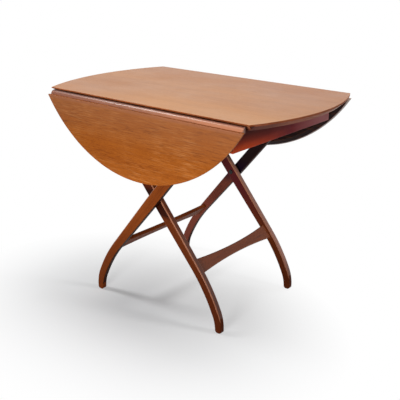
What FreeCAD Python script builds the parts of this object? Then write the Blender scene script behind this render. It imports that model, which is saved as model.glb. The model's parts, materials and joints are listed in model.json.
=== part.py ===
import FreeCAD, Part
import math
import os
import re

from FreeCAD import Placement, Rotation, Vector

# Folding table: a centre board with two hinged drop leaves, on a box of rails and a pair of
# crossed leg frames. +X runs along the hinges, +Z up, origin on the floor under the centre.

DRIVING = {
    # boards
    "top_height": 720, "board_thick": 20, "hinge_half": 408.5, "panel_half": 274, "end_bulge": 64,
    "rim_edge": 5.5, "rim_inset": 16, "leaf_reach": 222, "leaf_end_gap": 4, "joint_gap": 1,
    # rule joint
    "lip_thick": 4, "nose_step": 7, "nose_inset": 8,
    # rails under the board
    "rail_deep": 75, "end_overhang": 127.5, "end_rail_thick": 20, "stay_room": 15.5,
    "side_rail_thick": 16, "block_side": 40, "block_tall": 60,
    # leg frames
    "pivot_from_rail": 82, "leg_thick": 20, "washer_thick": 2, "frame_gap": 12.5, "scissor_height": 391,
    "pivot_drop": 22, "leg_wide": 38, "shin_wide": 30, "ankle_wide": 29, "foot_wide": 24.5,
    "bend_height": 200, "ankle_height": 66, "ankle_share": 0.627, "foot_flat": 8, "leg_soft": 3,
    # stretchers, measured down the leg from the scissor pivot
    "inner_stretcher_at": 251, "outer_stretcher_at": 254, "stretcher_thick": 14,
    "stretcher_end": 52, "stretcher_waist": 31, "dowel_radius": 4, "dowel_apart": 26,
    "dowel_in_rail": 15, "dowel_in_leg": 12,
    # sliding crossbar
    "crossbar_radius": 12, "tenon_radius": 9, "tenon_long": 12, "slide_gap": 0.3, "runner_inset": 23,
    "runner_wide": 30, "runner_short": 27, "stop_wide": 22, "stop_deep": 30, "stop_inset": 13,
    # pivot bolts
    "bolt_radius": 4, "bolt_slack": 0.05, "bolt_head_radius": 8, "bolt_head_thick": 4,
    "insert_radius": 6, "insert_long": 13, "bolt_end_gap": 1, "washer_radius": 10,
    "spacer_radius": 12, "side_gap": 0.3,
    # hinges
    "hinge_from_end": 128.5, "hinge_long": 60, "flap_wide": 49, "flap_thick": 2, "knuckle_radius": 3.5,
    "knuckle_clear": 0.5, "knuckle_gap": 0.3, "pin_radius": 1.5, "pin_slack": 0.05, "pin_proud": 1,
    "pocket_radius": 4.5, "pocket_spare": 2, "screw_spread": 20, "panel_screw_at": 42,
    # screws
    "screw_radius": 1.6, "screw_head_radius": 3.2, "screw_head_thick": 1, "screw_long": 12,
    # stays that hold a raised leaf
    "stay_from_hinge": 130, "arm_thick": 2.5, "arm_wide": 11, "arm_gap": 0.5, "stay_off": 7.5,
    "rail_pivot_drop": 62, "leaf_pivot_reach": 110, "stay_pin_radius": 2.5, "rivet_radius": 3.5,
    "rivet_thick": 1.2, "plate_thick": 2, "plate_long": 30, "plate_wide": 20, "ear_half": 8,
    "ear_reach": 12.5, "plate_screw_apart": 16, "plate_cut": 3,
}

# Formulas over the cells above and over each other, in order.
DERIVED = {
    "under": "top_height - board_thick",
    "end_reach": "hinge_half + end_bulge",
    "end_radius": "(panel_half*panel_half + end_bulge*end_bulge)/(2*end_bulge)",
    "hinge_y": "panel_half + joint_gap/2",
    "cove_radius": "board_thick - lip_thick",
    "nose_radius": "board_thick - nose_step",
    "leaf_half": "hinge_half - leaf_end_gap",
    "nose_half": "leaf_half - nose_inset",
    "leaf_sagitta": "leaf_reach - joint_gap/2",
    "leaf_radius": "(leaf_half*leaf_half + leaf_sagitta*leaf_sagitta)/(2*leaf_sagitta)",
    "leaf_centre_z": "under - leaf_reach + leaf_radius",
    "leaf_face": "hinge_y + board_thick",
    "rim_deep": "board_thick - rim_edge",
    "rail_low": "under - rail_deep",
    "end_rail_face": "end_reach - end_overhang",
    "end_rail_inner": "end_rail_face - end_rail_thick",
    "side_rail_face": "hinge_y - stay_room",
    "side_rail_inner": "side_rail_face - side_rail_thick",
    "leg_spread": "end_rail_inner - pivot_from_rail",
    "pivot_z": "under - pivot_drop",
    "upper_leg": "sqrt(leg_spread*leg_spread + (pivot_z - scissor_height)*(pivot_z - scissor_height))",
    "lean_sin": "leg_spread/upper_leg",
    "lean_cos": "(pivot_z - scissor_height)/upper_leg",
    "foot_round": "(foot_wide - foot_flat)/2",
    "ankle_sin": "lean_sin*ankle_share",
    "bend_radius": "(bend_height - ankle_height)/(lean_sin - ankle_sin)",
    "ankle_radius": "(ankle_height - foot_round)/ankle_sin",
    "outer_leg_out": "side_rail_inner - washer_thick",
    "outer_leg_y": "outer_leg_out - leg_thick/2",
    "outer_leg_in": "outer_leg_out - leg_thick",
    "inner_leg_out": "outer_leg_in - frame_gap",
    "inner_leg_y": "inner_leg_out - leg_thick/2",
    "inner_leg_in": "inner_leg_out - leg_thick",
    "stop_x": "0 - leg_spread - crossbar_radius - slide_gap",
    "bolt_hole": "bolt_radius + bolt_slack",
    "hinge_spread": "hinge_half - hinge_from_end",
    "third": "hinge_long/3",
    "flap_edge": "knuckle_radius + knuckle_clear",
    "stay_x": "hinge_spread - stay_from_hinge",
    "rail_pivot_z": "under - rail_pivot_drop",
    "leaf_pivot_z": "under - leaf_pivot_reach",
    "stay_y": "hinge_y - stay_off",
    "stay_span": "sqrt((leaf_pivot_reach + stay_off)*(leaf_pivot_reach + stay_off)"
                 " + (rail_pivot_drop - stay_off)*(rail_pivot_drop - stay_off))",
    "stay_fold": "leaf_pivot_reach - rail_pivot_drop",
    "long_arm": "(stay_span + stay_fold)/2",
    "short_arm": "(stay_span - stay_fold)/2",
    "elbow_z": "rail_pivot_z - long_arm",
    "short_arm_x": "stay_x + arm_thick + arm_gap",
    "leaf_ear_x": "short_arm_x + arm_thick + arm_gap",
    "rail_ear_x": "stay_x - arm_gap - arm_thick",
    "stay_pin_hole": "stay_pin_radius + pin_slack",
}

doc = FreeCAD.newDocument("FoldingTable")
sheet = doc.addObject("Spreadsheet::Sheet", "Sizes")
nodes = []


def fill_sheet():
    cells = {name: str(value) for name, value in DRIVING.items()}
    cells.update({name: "=" + formula for name, formula in DERIVED.items()})
    for row, (name, content) in enumerate(cells.items(), start=1):
        sheet.set("A%d" % row, name)
        sheet.set("B%d" % row, content)
        sheet.setAlias("B%d" % row, name)
    doc.recompute()


def linked(formula):
    """The formula with each alias named as a cell of the sheet."""
    known = set(DRIVING) | set(DERIVED)
    return re.sub(r"[a-z_]+", lambda word: ("Sizes." if word[0] in known else "") + word[0], formula)


def bind(thing, **formulas):
    for prop, formula in formulas.items():
        thing.setExpression(prop.replace("__", "."), linked(formula))


def place(thing, x, y, z):
    for axis, formula in zip("xyz", (x, y, z)):
        thing.setExpression("Placement.Base." + axis, linked(formula))


def box(x, y, z, long, wide, tall):
    solid = doc.addObject("Part::Box", "Block")
    bind(solid, Length=long, Width=wide, Height=tall)
    place(solid, x, y, z)
    return solid


TURNS = {
    "X": Rotation(Vector(0, 1, 0), 90),
    "Y": Rotation(Vector(1, 0, 0), -90),
    "Z": Rotation(),
}


def rod(axis, radius, x, y, z, long):
    """A round bar from the point given, along +axis."""
    solid = doc.addObject("Part::Cylinder", "Rod")
    solid.Placement = Placement(Vector(), TURNS[axis])
    bind(solid, Radius=radius, Height=long)
    place(solid, x, y, z)
    return solid


def cone(axis, radius_from, radius_to, x, y, z, long):
    solid = doc.addObject("Part::Cone", "Cone")
    solid.Placement = Placement(Vector(), TURNS[axis])
    bind(solid, Radius1=radius_from, Radius2=radius_to, Height=long)
    place(solid, x, y, z)
    return solid


def fused(*solids):
    if len(solids) == 1:
        return solids[0]
    joined = doc.addObject("Part::MultiFuse", "Fusion")
    joined.Shapes = list(solids)
    joined.Refine = True
    return joined


def cut(base, *tools):
    result = doc.addObject("Part::Cut", "Cut")
    result.Base = base
    result.Tool = fused(*tools)
    return result


def common(*solids):
    result = doc.addObject("Part::MultiCommon", "Common")
    result.Shapes = list(solids)
    return result


def mirrored(solid, axis):
    copy = doc.addObject("Part::Mirroring", "Mirrored")
    copy.Source = solid
    copy.Normal = Vector(axis == "X", axis == "Y", 0)
    return copy


def group(solids):
    bundle = doc.addObject("Part::Compound", "Group")
    bundle.Links = list(solids)
    return bundle


def both_ends(solids):
    """The solids and their copies across the middle of the table's length."""
    solids = list(solids)
    return solids + [mirrored(solid, "X") for solid in solids]


def both_sides(solids):
    """The solids and their copies on the near side."""
    solids = list(solids)
    return solids + [mirrored(solid, "Y") for solid in solids]


def node(label, solid):
    solid.Label = label
    nodes.append(solid)
    return solid


def pair(label, solid):
    """One node on the far side and its mirror image on the near side."""
    node("far_" + label, solid)
    node("near_" + label, mirrored(solid, "Y"))


def hinge_places():
    return ("0 - hinge_spread", "0", "hinge_spread")


# ---- boards and hinges, made for the far side ----

def rim(axis, radius, x, y, z, plain_at, bevel_at):
    """A disc with a plain edge and a bevel that leans in under it."""
    x_plain, y_plain, z_plain = plain_at
    x_bevel, y_bevel, z_bevel = bevel_at
    plain = rod(axis, radius, x_plain, y_plain, z_plain, "rim_edge")
    bevel = cone(axis, radius + " - rim_inset", radius, x_bevel, y_bevel, z_bevel, "rim_deep")
    return fused(plain, bevel)


def screw(axis, x, y, z):
    """A countersunk screw, its head flush with the point given, driven along +axis."""
    head = rod(axis, "screw_head_radius", x, y, z, "screw_head_thick")
    shank = rod(axis, "screw_radius", x, y, z, "screw_long")
    return fused(head, shank)


def panel_screws():
    return [screw("Z", at + side + "screw_spread", "hinge_y - panel_screw_at", "under")
            for at in hinge_places() for side in (" - ", " + ")]


def leaf_screws():
    return [screw("Y", at + side + "screw_spread", "hinge_y", "under - " + drop)
            for at in hinge_places() for side in (" - ", " + ")
            for drop in ("screw_spread", "2*screw_spread")]


def outer_knuckles(at, radius):
    low = rod("X", radius, at + " - hinge_long/2", "hinge_y", "under", "third")
    high = rod("X", radius, at + " + hinge_long/6", "hinge_y", "under", "third")
    return low, high


def panel_flap(at):
    """The hinge half under the centre board: a plate and the two outer knuckles."""
    start = at + " - hinge_long/2"
    plate = box(start, "hinge_y - flap_wide", "under", "hinge_long", "flap_wide - flap_edge", "flap_thick")
    low = box(start, "hinge_y - flap_wide", "under", "third", "flap_wide", "flap_thick")
    high = box(at + " + hinge_long/6", "hinge_y - flap_wide", "under", "third", "flap_wide", "flap_thick")
    solid = fused(plate, low, high, *outer_knuckles(at, "knuckle_radius"))
    return cut(solid, rod("X", "pin_radius", start, "hinge_y", "under", "hinge_long"))


def leaf_flap(at):
    """The hinge half on the leaf: a plate and the middle knuckle, free on the pin."""
    plate = box(at + " - hinge_long/2", "hinge_y", "under - flap_wide",
                "hinge_long", "flap_thick", "flap_wide - flap_edge")
    neck_at = at + " - hinge_long/6 + knuckle_gap"
    neck_long = "third - 2*knuckle_gap"
    neck = box(neck_at, "hinge_y", "under - flap_wide", neck_long, "flap_thick", "flap_wide")
    knuckle = rod("X", "knuckle_radius", neck_at, "hinge_y", "under", neck_long)
    bore = rod("X", "pin_radius + pin_slack", neck_at, "hinge_y", "under", neck_long)
    return cut(fused(plate, neck, knuckle), bore)


def hinge_pin(at):
    return rod("X", "pin_radius", at + " - hinge_long/2 - pin_proud", "hinge_y", "under",
               "hinge_long + 2*pin_proud")


def make_centre_panel():
    blank = box("0 - end_reach", "0 - panel_half", "under", "2*end_reach", "2*panel_half", "board_thick")
    shape = [blank]
    for centre in ("end_reach - end_radius", "end_radius - end_reach"):
        shape.append(rim("Z", "end_radius", centre, "0", "under",
                         (centre, "0", "top_height - rim_edge"), (centre, "0", "under")))
    cove = rod("X", "cove_radius", "0 - end_reach", "hinge_y", "under", "2*end_reach")
    recesses = [box(at + " - hinge_long/2", "hinge_y - flap_wide", "under",
                    "hinge_long", "flap_wide", "flap_thick") for at in hinge_places()]
    tools = both_sides([cove] + recesses + panel_screws())
    node("centre_panel", cut(common(*shape), *tools))


def nosing_sketch(body):
    """Section of a hanging leaf: quarter-round nosing, step, and the board below."""
    hinge, under = float(sheet.hinge_y), float(sheet.under)
    nose, thick = float(sheet.nose_radius), float(sheet.board_thick)
    step, low = float(sheet.joint_gap) / 2, under - float(sheet.leaf_reach)
    corner = [Vector(hinge, under + nose, 0), Vector(hinge + nose, under, 0),
              Vector(hinge + nose, under - step, 0), Vector(hinge + thick, under - step, 0),
              Vector(hinge + thick, low, 0), Vector(hinge, low, 0)]
    middle = Vector(hinge + nose * math.sqrt(0.5), under + nose * math.sqrt(0.5), 0)
    edges = [Part.Arc(corner[0], middle, corner[1])]
    edges += [Part.LineSegment(a, b) for a, b in zip(corner[1:], corner[2:] + corner[:1])]
    return sketch(body, "YZ_Plane", edges)


def sketch(body, plane, edges):
    """A closed sketch on one of the body's own planes, its edges joined end to end."""
    drawing = body.newObject("Sketcher::SketchObject", "Outline")
    support = [part for part in body.Origin.OriginFeatures if part.Role == plane][0]
    drawing.AttachmentSupport = (support, [""])
    drawing.MapMode = "FlatFace"
    drawing.addGeometry(edges, False)
    return drawing


def padded(body, drawing, length):
    pad = body.newObject("PartDesign::Pad", "Pad")
    pad.Profile = drawing
    pad.SideType = "Symmetric"
    bind(pad, Length=length)
    return pad


def make_leaf_board():
    body = doc.addObject("PartDesign::Body", "LeafBody")
    padded(body, nosing_sketch(body), "2*leaf_half")
    disc = rim("Y", "leaf_radius", "0", "0", "leaf_centre_z",
               ("0", "leaf_face - rim_edge", "leaf_centre_z"), ("0", "hinge_y", "leaf_centre_z"))
    ends = [box("nose_half", "hinge_y - 1", "under - joint_gap/2",
                "leaf_half - nose_half + 1", "board_thick + 2", "nose_radius + 2")]
    recesses = []
    for at in hinge_places():
        recesses.append(box(at + " - hinge_long/2", "hinge_y", "under - flap_wide",
                            "hinge_long", "flap_thick", "flap_wide"))
        recesses.append(rod("X", "pocket_radius", at + " - hinge_long/2 - pocket_spare", "hinge_y", "under",
                            "hinge_long + 2*pocket_spare"))
        recesses.append(box(at + " - hinge_long/2 - knuckle_gap", "hinge_y - 1", "under",
                            "hinge_long + 2*knuckle_gap", "1 + flap_thick + knuckle_gap", "nose_radius + 1"))
    holes = leaf_screws() + bracket_screws("leaf")
    pair("leaf_board", cut(common(body, disc), *both_ends(ends), *recesses, *holes))


# ---- rails ----

def make_rails():
    side = box("0 - end_rail_inner", "side_rail_inner", "rail_low",
               "2*end_rail_inner", "side_rail_thick", "rail_deep")
    insert_hole = rod("Y", "insert_radius", "leg_spread", "side_rail_inner", "pivot_z", "insert_long")
    pair("side_rail", cut(side, insert_hole, *bracket_screws("rail")))
    end = box("end_rail_inner", "0 - side_rail_face", "rail_low",
              "end_rail_thick", "2*side_rail_face", "rail_deep")
    node("right_end_rail", end)
    node("left_end_rail", mirrored(end, "X"))


def make_corner_blocks():
    side = float(sheet.block_side)
    corner = [Vector(0, 0, 0), Vector(0 - side, 0, 0), Vector(0, 0 - side, 0)]
    edges = [Part.LineSegment(a, b) for a, b in zip(corner, corner[1:] + corner[:1])]
    body = doc.addObject("PartDesign::Body", "BlockBody")
    padded(body, sketch(body, "XY_Plane", edges), "block_tall")
    place(body, "end_rail_inner", "side_rail_inner", "under - block_tall/2")
    node("corner_blocks", group(both_sides(both_ends([body]))))


def make_slide():
    bar_top = "crossbar_radius + slide_gap"
    strip = box("stop_x", "inner_leg_in - runner_inset - runner_wide", "pivot_z + " + bar_top,
                "leg_spread - runner_short - stop_x", "runner_wide", "pivot_drop - (%s)" % bar_top)
    node("crossbar_runners", group(both_sides([strip])))
    node("crossbar_stop", box("stop_x - stop_wide", "stop_inset - inner_leg_in", "under - stop_deep",
                              "stop_wide", "2*inner_leg_in - 2*stop_inset", "stop_deep"))


# ---- leg frames ----

def leg_edges(side):
    """Outline of a leg that leans towards side at the top and turns upright at the foot."""
    up = Vector(side * sheet.lean_sin, sheet.lean_cos, 0)
    across = Vector(sheet.lean_cos, -side * sheet.lean_sin, 0)
    scissor = Vector(0, sheet.scissor_height, 0)
    top = Vector(side * sheet.leg_spread, sheet.pivot_z, 0)
    bend = scissor - up * ((sheet.scissor_height - sheet.bend_height) / sheet.lean_cos)
    lean, ankle_lean = math.asin(sheet.lean_sin), math.asin(sheet.ankle_sin)

    def out(angle):
        return Vector(-side * math.cos(angle), math.sin(angle), 0)

    # the shin bends on a wide arc down to the ankle, the foot on a tighter one below it
    shin_centre = bend + across * (side * sheet.bend_radius)
    foot_centre = shin_centre + out(ankle_lean) * (sheet.bend_radius - sheet.ankle_radius)
    heel_x = foot_centre.x - side * sheet.ankle_radius
    wide, shin_half = sheet.leg_wide / 2, sheet.shin_wide / 2
    ankle, foot = sheet.ankle_wide / 2, sheet.foot_wide / 2
    sole = sheet.foot_round
    off_floor = sole * (1 - math.sqrt(0.5))

    def flank(turn):
        """One long edge, from the top end down to the foot."""
        back = -side * turn

        def shin(angle, half):
            return shin_centre + out(angle) * (sheet.bend_radius + back * half)

        points = [top + across * (turn * wide), scissor + across * (turn * wide),
                  bend + across * (turn * shin_half),
                  shin((lean + ankle_lean) / 2, (shin_half + ankle) / 2), shin(ankle_lean, ankle),
                  foot_centre + out(ankle_lean / 2) * (sheet.ankle_radius + back * (ankle + foot) / 2),
                  Vector(heel_x + turn * foot, sole, 0),
                  Vector(heel_x + turn * (foot - off_floor), off_floor, 0),
                  Vector(heel_x + turn * sheet.foot_flat / 2, 0, 0)]
        return points, [Part.LineSegment(points[0], points[1]), Part.LineSegment(points[1], points[2]),
                        Part.Arc(*points[2:5]), Part.Arc(*points[4:7]), Part.Arc(*points[6:9])]

    left, left_edges = flank(-1)
    right, right_edges = flank(1)
    head = Part.Arc(left[0], top + up * wide, right[0])
    return [head, *right_edges, Part.LineSegment(right[-1], left[-1]), *left_edges]


def leg(side, middle):
    body = doc.addObject("PartDesign::Body", "LegBody")
    pad = padded(body, sketch(body, "XZ_Plane", leg_edges(side)), "leg_thick")
    doc.recompute()
    faces = [(number, face) for number, face in enumerate(pad.Shape.Faces, start=1)
             if abs(face.normalAt(0, 0).y) > 0.99]
    soft = body.newObject("PartDesign::Fillet", "Fillet")
    soft.Base = (pad, ["Face%d" % number for number, face in faces])
    bind(soft, Radius="leg_soft")
    place(body, "0", middle, "0")
    return body


def frame_place(side, down):
    """Formulas for the point that lies the given way down a leg from the scissor pivot."""
    return "0 - (%d)*(%s)*lean_sin" % (side, down), "scissor_height - (%s)*lean_cos" % down


def dowels(side, at, face):
    pins = []
    for sign in (" - ", " + "):
        x, z = frame_place(side, at + sign + "dowel_apart/2")
        pins.append(rod("Y", "dowel_radius", x, face + " - dowel_in_rail", z, "dowel_in_rail + dowel_in_leg"))
    return pins


def stretcher(side, at, face):
    """A board between two legs, waisted in the middle, lying in the plane of its frame."""
    half, middle = float(getattr(sheet, face)), float(getattr(sheet, at))
    end, waist = sheet.stretcher_end / 2, sheet.stretcher_waist / 2
    corners = [Vector(middle - end, -half, 0), Vector(middle - end, half, 0),
               Vector(middle + end, half, 0), Vector(middle + end, -half, 0)]
    edges = [Part.Arc(corners[0], Vector(middle - waist, 0, 0), corners[1]),
             Part.LineSegment(corners[1], corners[2]),
             Part.Arc(corners[2], Vector(middle + waist, 0, 0), corners[3]),
             Part.LineSegment(corners[3], corners[0])]
    body = doc.addObject("PartDesign::Body", "StretcherBody")
    padded(body, sketch(body, "XY_Plane", edges), "stretcher_thick")
    lean = math.degrees(math.atan2(sheet.lean_sin, sheet.lean_cos))
    body.Placement = Placement(Vector(), Rotation(Vector(0, 1, 0), 90 + side * lean))
    place(body, "0", "0", "scissor_height")
    return cut(body, *both_sides(dowels(side, at, face)))


def make_outer_frame():
    scissor_insert = rod("Y", "insert_radius", "0", "outer_leg_in", "scissor_height", "insert_long")
    pivot_hole = rod("Y", "bolt_hole", "leg_spread", "outer_leg_in - 1", "pivot_z", "leg_thick + 2")
    holes = dowels(1, "outer_stretcher_at", "outer_leg_in")
    pair("outer_leg", cut(leg(1, "outer_leg_y"), scissor_insert, pivot_hole, *holes))
    node("outer_stretcher", stretcher(1, "outer_stretcher_at", "outer_leg_in"))
    node("outer_dowels", group(both_sides(dowels(1, "outer_stretcher_at", "outer_leg_in"))))


def make_inner_frame():
    pivot_hole = rod("Y", "bolt_hole", "0", "inner_leg_in - 1", "scissor_height", "leg_thick + 2")
    tenon_hole = rod("Y", "tenon_radius", "0 - leg_spread", "inner_leg_in", "pivot_z", "tenon_long")
    holes = dowels(-1, "inner_stretcher_at", "inner_leg_in")
    pair("inner_leg", cut(leg(-1, "inner_leg_y"), pivot_hole, tenon_hole, *holes))
    node("inner_stretcher", stretcher(-1, "inner_stretcher_at", "inner_leg_in"))
    node("inner_dowels", group(both_sides(dowels(-1, "inner_stretcher_at", "inner_leg_in"))))
    bar = rod("Y", "crossbar_radius", "0 - leg_spread", "0 - inner_leg_in", "pivot_z", "2*inner_leg_in")
    tenon = rod("Y", "tenon_radius", "0 - leg_spread", "0 - inner_leg_in - tenon_long", "pivot_z",
                "2*inner_leg_in + 2*tenon_long")
    node("top_crossbar", fused(bar, tenon))


# ---- pivot hardware ----

def pivot_bolt(x, leg_in, z, anchor_in):
    """A bolt whose head bears on the inside of a leg and whose end is held in an insert."""
    head = rod("Y", "bolt_head_radius", x, leg_in + " - side_gap - bolt_head_thick", z, "bolt_head_thick")
    shank = rod("Y", "bolt_radius", x, leg_in + " - side_gap", z,
                anchor_in + " - (" + leg_in + ") + side_gap + insert_long - bolt_end_gap")
    return fused(head, shank)


def insert(x, anchor_in, z):
    sleeve = rod("Y", "insert_radius", x, anchor_in, z, "insert_long")
    return cut(sleeve, rod("Y", "bolt_radius", x, anchor_in, z, "insert_long"))


def ring(radius, x, y_from, y_to, z):
    long = y_to + " - (" + y_from + ")"
    return cut(rod("Y", radius, x, y_from, z, long), rod("Y", "bolt_radius", x, y_from, z, long))


def make_pivots():
    node("top_pivot_bolts", group(both_sides(
        [pivot_bolt("leg_spread", "outer_leg_in", "pivot_z", "side_rail_inner")])))
    node("top_pivot_inserts", group(both_sides([insert("leg_spread", "side_rail_inner", "pivot_z")])))
    node("top_pivot_washers", group(both_sides(
        [ring("washer_radius", "leg_spread", "outer_leg_out + side_gap", "side_rail_inner", "pivot_z")])))
    node("scissor_bolts", group(both_sides(
        [pivot_bolt("0", "inner_leg_in", "scissor_height", "outer_leg_in")])))
    node("scissor_inserts", group(both_sides([insert("0", "outer_leg_in", "scissor_height")])))
    node("scissor_spacers", group(both_sides(
        [ring("spacer_radius", "0", "inner_leg_out + side_gap", "outer_leg_in", "scissor_height")])))


# ---- hinges and stays ----

def make_hinges():
    flaps = [cut(panel_flap(at), *panel_screws()) for at in hinge_places()]
    node("panel_hinge_flaps", group(both_sides(flaps)))
    node("panel_hinge_screws", group(both_sides(panel_screws())))
    node("hinge_pins", group(both_sides(hinge_pin(at) for at in hinge_places())))
    pair("leaf_hinge_flaps", group([cut(leaf_flap(at), *leaf_screws()) for at in hinge_places()]))
    pair("leaf_hinge_screws", group(leaf_screws()))


def bracket_screws(which):
    """Two screws through the plate of each stay bracket."""
    if which == "rail":
        x, y, z = "rail_ear_x + arm_thick - plate_wide/2", "side_rail_face + plate_thick", "rail_pivot_z"
    else:
        x, y, z = "leaf_ear_x + plate_wide/2 + arm_thick/2", "hinge_y - plate_thick", "leaf_pivot_z"
    driven = []
    for sign in (" - ", " + "):
        height = z + sign + "plate_screw_apart/2"
        if which == "rail":
            head = rod("Y", "screw_head_radius", x, y + " - screw_head_thick", height, "screw_head_thick")
            shank = rod("Y", "screw_radius", x, y + " - screw_long", height, "screw_long")
            driven.append(fused(head, shank))
        else:
            driven.append(screw("Y", x, y, height))
    return both_ends(driven)


def bracket(which):
    """A screwed plate with an ear that carries the pin of a stay arm."""
    if which == "rail":
        plate = box("rail_ear_x + arm_thick - plate_wide", "side_rail_face",
                    "rail_pivot_z - plate_long/2 + plate_cut", "plate_wide", "plate_thick",
                    "plate_long - plate_cut")
        ear = box("rail_ear_x", "side_rail_face", "rail_pivot_z - ear_half",
                  "arm_thick", "ear_reach", "2*ear_half")
        pin = rod("X", "stay_pin_radius", "rail_ear_x", "stay_y", "rail_pivot_z",
                  "2*arm_thick + arm_gap + arm_gap/2")
    else:
        plate = box("leaf_ear_x", "hinge_y - plate_thick", "leaf_pivot_z - plate_long/2",
                    "plate_wide", "plate_thick", "plate_long")
        ear = box("leaf_ear_x", "hinge_y - ear_reach", "leaf_pivot_z - ear_half",
                  "arm_thick", "ear_reach", "2*ear_half")
        pin = rod("X", "stay_pin_radius", "short_arm_x - arm_gap/2", "stay_y", "leaf_pivot_z",
                  "2*arm_thick + arm_gap + arm_gap/2")
    return cut(fused(plate, ear, pin), *bracket_screws(which)[:2])


def arm(x, low, long, pivot_z, rivet_x, rivet_z):
    """A flat bar with round ends: a hole for its pin at one end, half the elbow rivet at the other."""
    bar = box(x, "stay_y - arm_wide/2", low, "arm_thick", "arm_wide", long)
    ends = [rod("X", "arm_wide/2", x, "stay_y", z, "arm_thick") for z in (low, low + " + " + long)]
    rivet = rod("X", "rivet_radius", rivet_x, "stay_y", rivet_z, "rivet_thick")
    hole = rod("X", "stay_pin_hole", x, "stay_y", pivot_z, "arm_thick")
    return cut(fused(bar, *ends, rivet), hole)


def make_stays():
    node("rail_brackets", group(both_sides(both_ends([bracket("rail")]))))
    node("rail_bracket_screws", group(both_sides(bracket_screws("rail"))))
    pair("leaf_brackets", group(both_ends([bracket("leaf")])))
    pair("leaf_bracket_screws", group(bracket_screws("leaf")))
    long_arm = arm("stay_x", "elbow_z", "long_arm", "rail_pivot_z", "stay_x - rivet_thick", "elbow_z")
    pair("stay_long_arms", group(both_ends([long_arm])))
    short_arm = arm("short_arm_x", "elbow_z", "short_arm", "leaf_pivot_z",
                    "short_arm_x + arm_thick", "elbow_z")
    pair("stay_short_arms", group(both_ends([short_arm])))


def write_parts():
    doc.recompute()
    for thing in doc.Objects:
        if "Invalid" in thing.State or "Error" in thing.State:
            raise RuntimeError("%s (%s) did not build" % (thing.Name, thing.Label))
    os.makedirs("parts", exist_ok=True)
    for thing in nodes:
        shape = thing.Shape
        if shape.isNull() or not shape.isValid() or not shape.Solids:
            raise RuntimeError(thing.Label + " has no valid solid")
        shape.exportStep("parts/" + thing.Label + ".step")
        print("%-24s %2d solid(s) %10.0f mm3" % (thing.Label, len(shape.Solids), shape.Volume))


fill_sheet()
make_centre_panel()
make_leaf_board()
make_rails()
make_corner_blocks()
make_slide()
make_outer_frame()
make_inner_frame()
make_pivots()
make_hinges()
make_stays()
write_parts()
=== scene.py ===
import json
import math

import bmesh
import bpy
from mathutils import Euler, Matrix, Vector


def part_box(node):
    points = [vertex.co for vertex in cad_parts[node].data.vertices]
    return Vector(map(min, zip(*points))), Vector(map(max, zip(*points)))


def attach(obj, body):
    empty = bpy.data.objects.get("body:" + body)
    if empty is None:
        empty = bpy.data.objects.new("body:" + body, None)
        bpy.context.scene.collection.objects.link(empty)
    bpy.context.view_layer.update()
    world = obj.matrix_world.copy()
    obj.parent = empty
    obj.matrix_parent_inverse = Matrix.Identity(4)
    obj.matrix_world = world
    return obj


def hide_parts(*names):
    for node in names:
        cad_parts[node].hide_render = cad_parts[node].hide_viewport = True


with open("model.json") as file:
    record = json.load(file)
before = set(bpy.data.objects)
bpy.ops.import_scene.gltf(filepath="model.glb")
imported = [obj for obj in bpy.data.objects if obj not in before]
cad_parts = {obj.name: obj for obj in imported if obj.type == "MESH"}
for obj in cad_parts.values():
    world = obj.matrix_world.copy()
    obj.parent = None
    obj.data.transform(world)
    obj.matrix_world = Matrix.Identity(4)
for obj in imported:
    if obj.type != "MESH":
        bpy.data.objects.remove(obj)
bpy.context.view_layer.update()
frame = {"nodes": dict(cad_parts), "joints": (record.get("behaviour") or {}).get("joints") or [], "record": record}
mm = 0.001
weld = 0.001 * mm    # points nearer than this are one
quarter = math.pi / 2
sharpFrom = math.radians(35)    # steeper edges stay crisp

bodyOf = {node: body for body, nodes in frame["record"]["behaviour"]["bodies"].items() for node in nodes}
slotOf = {part["node"]: part["material_slot"] for part in frame["record"]["subparts"]}
panelLow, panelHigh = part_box("centre_panel")
leafLow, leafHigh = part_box("far_leaf_board")
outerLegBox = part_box("far_outer_leg")
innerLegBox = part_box("far_inner_leg")
jointAt = {j["name"]: Vector(j["pos_m"]) for j in frame["joints"]}
hinge = jointAt["far_leaf_hinge"]    # axis of the far leaf's hinges
scissor = jointAt["scissor"]    # where the leg frames cross
upperPivot = jointAt["legs_fold"]    # top of the outer legs
lean = math.atan2(upperPivot.x - scissor.x, upperPivot.z - scissor.z)
boardThick = panelHigh.z - panelLow.z


def newObject(name, mesh, material):
    piece = bpy.data.objects.new(name, mesh)
    bpy.context.scene.collection.objects.link(piece)
    mesh.materials.clear()
    mesh.materials.append(material)
    return piece


def tidyNormals(mesh, merge=weld):
    work = bmesh.new()
    work.from_mesh(mesh)
    bmesh.ops.remove_doubles(work, verts=work.verts, dist=merge)
    bmesh.ops.recalc_face_normals(work, faces=work.faces)
    work.to_mesh(mesh)
    work.free()


def loft(name, rings, material):
    # closed rings of equal length, skinned and capped at both ends
    count = len(rings[0])
    verts = [point for ring in rings for point in ring]
    faces = [list(range(count))]
    for level in range(len(rings) - 1):
        start = level * count
        for i in range(count):
            j = (i + 1) % count
            faces.append((start + i, start + j, start + count + j, start + count + i))
    faces.append(list(range(len(verts) - count, len(verts))))
    mesh = bpy.data.meshes.new(name)
    mesh.from_pydata(verts, [], faces)
    tidyNormals(mesh)
    return newObject(name, mesh, material)


def block(name, low, high):
    (x0, y0, z0), (x1, y1, z1) = low, high
    ring = [(x0, y0), (x1, y0), (x1, y1), (x0, y1)]
    return loft(name, [[Vector((x, y, z)) for x, y in ring] for z in (z0, z1)], plainCutter)


def roundBar(name, start, end, radius, sides):
    along = (end - start).normalized()
    across = along.orthogonal().normalized()
    other = along.cross(across)
    turns = [2 * math.pi * i / sides for i in range(sides)]
    spokes = [radius * (across * math.cos(a) + other * math.sin(a)) for a in turns]
    return loft(name, [[place + spoke for spoke in spokes] for place in (start, end)], plainCutter)


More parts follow.
